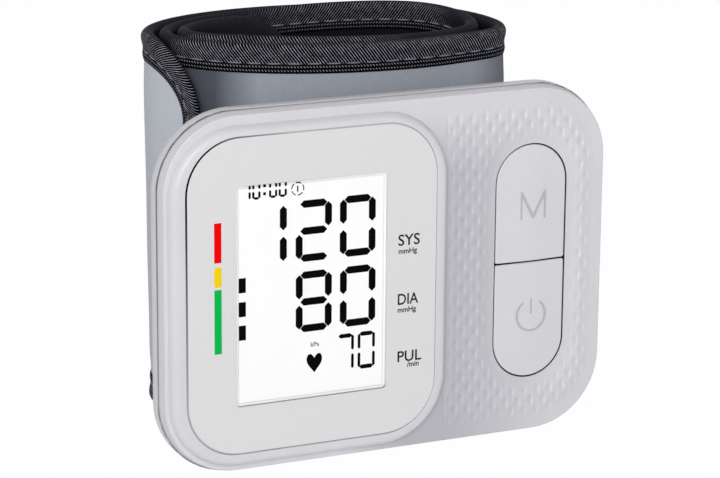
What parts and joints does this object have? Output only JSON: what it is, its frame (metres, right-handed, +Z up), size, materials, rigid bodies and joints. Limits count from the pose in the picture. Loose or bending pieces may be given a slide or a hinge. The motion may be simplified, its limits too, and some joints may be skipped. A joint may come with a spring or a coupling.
{
  "type": "wrist blood pressure monitor",
  "caption": "Wrist blood pressure monitor: a moulded housing with a raised display block, a split pill of buttons and a rolled fabric cuff with a bound edge.",
  "frame": {"origin": "middle of the footprint, on the standing surface", "axes": "+X to the right along the front, +Y from the display towards the cuff at the back, +Z up"},
  "size_m": [0.0844, 0.064, 0.0687],
  "materials": {
    "shell": "fine satin moulding",
    "lens": "back-printed clear panel",
    "lcd_glass": "white reflective display with black segments",
    "button": "smooth satin",
    "inner_plastic": "plain moulding",
    "board": "solder-masked laminate",
    "rubber": "moulded rubber",
    "steel": "plated",
    "cell_wrap": "plain shrink wrap",
    "fabric": "smooth knit, bluish grey",
    "lining": "charcoal loop fabric",
    "tape": "black woven binding tape",
    "film": "plain sheet"
  },
  "bodies": {
    "monitor": {"front_cover": "shell", "back_cover": "shell", "case_screw_1": "steel", "case_screw_2": "steel", "case_screw_3": "steel", "case_screw_4": "steel", "display_lens": "lens", "lens_gasket": "rubber", "lcd_panel": "lcd_glass", "lcd_reflector": "film", "lcd_holder": "inner_plastic", "lcd_connector": "rubber", "main_board": "board", "memory_switch": "inner_plastic", "power_switch": "inner_plastic", "upper_cell": "cell_wrap", "lower_cell": "cell_wrap", "upper_contact": "steel", "lower_contact": "steel", "pump_motor": "steel", "pump_head": "inner_plastic", "air_manifold": "rubber", "release_valve": "steel", "pressure_sensor": "inner_plastic", "cuff_plate": "inner_plastic", "cuff_fabric": "fabric", "cuff_lining": "lining", "cuff_binding": "tape", "cuff_stiffener": "film", "air_bladder": "film"},
    "memory_key": {"memory_button": "button", "memory_plunger": "rubber"},
    "power_key": {"power_button": "button", "power_plunger": "rubber"},
    "battery_hatch": {"battery_door": "shell", "link_contact": "steel"},
    "cuff_tail": {"tail_fabric": "fabric", "tail_lining": "lining", "tail_binding": "tape", "hook_patch": "lining"}
  },
  "joints": [
    {"name": "memory_press", "type": "slide", "parent": "monitor", "child": "memory_key", "axis": [0, 1, 0], "range_m": [0, 0.0005], "stiffness_N_per_m": 1200, "springref_m": -0.0003},
    {"name": "power_press", "type": "slide", "parent": "monitor", "child": "power_key", "axis": [0, 1, 0], "range_m": [0, 0.0005], "stiffness_N_per_m": 1200, "springref_m": -0.0003},
    {"name": "battery_door_slide", "type": "slide", "parent": "monitor", "child": "battery_hatch", "axis": [1, 0, 0], "range_m": [0, 0.014]},
    {"name": "cuff_tail_peel", "type": "hinge", "parent": "monitor", "child": "cuff_tail", "pos_m": [-0.0128, 0.03014, 0], "axis": [0, 0, -1], "range_deg": [0, 60]}
  ]
}
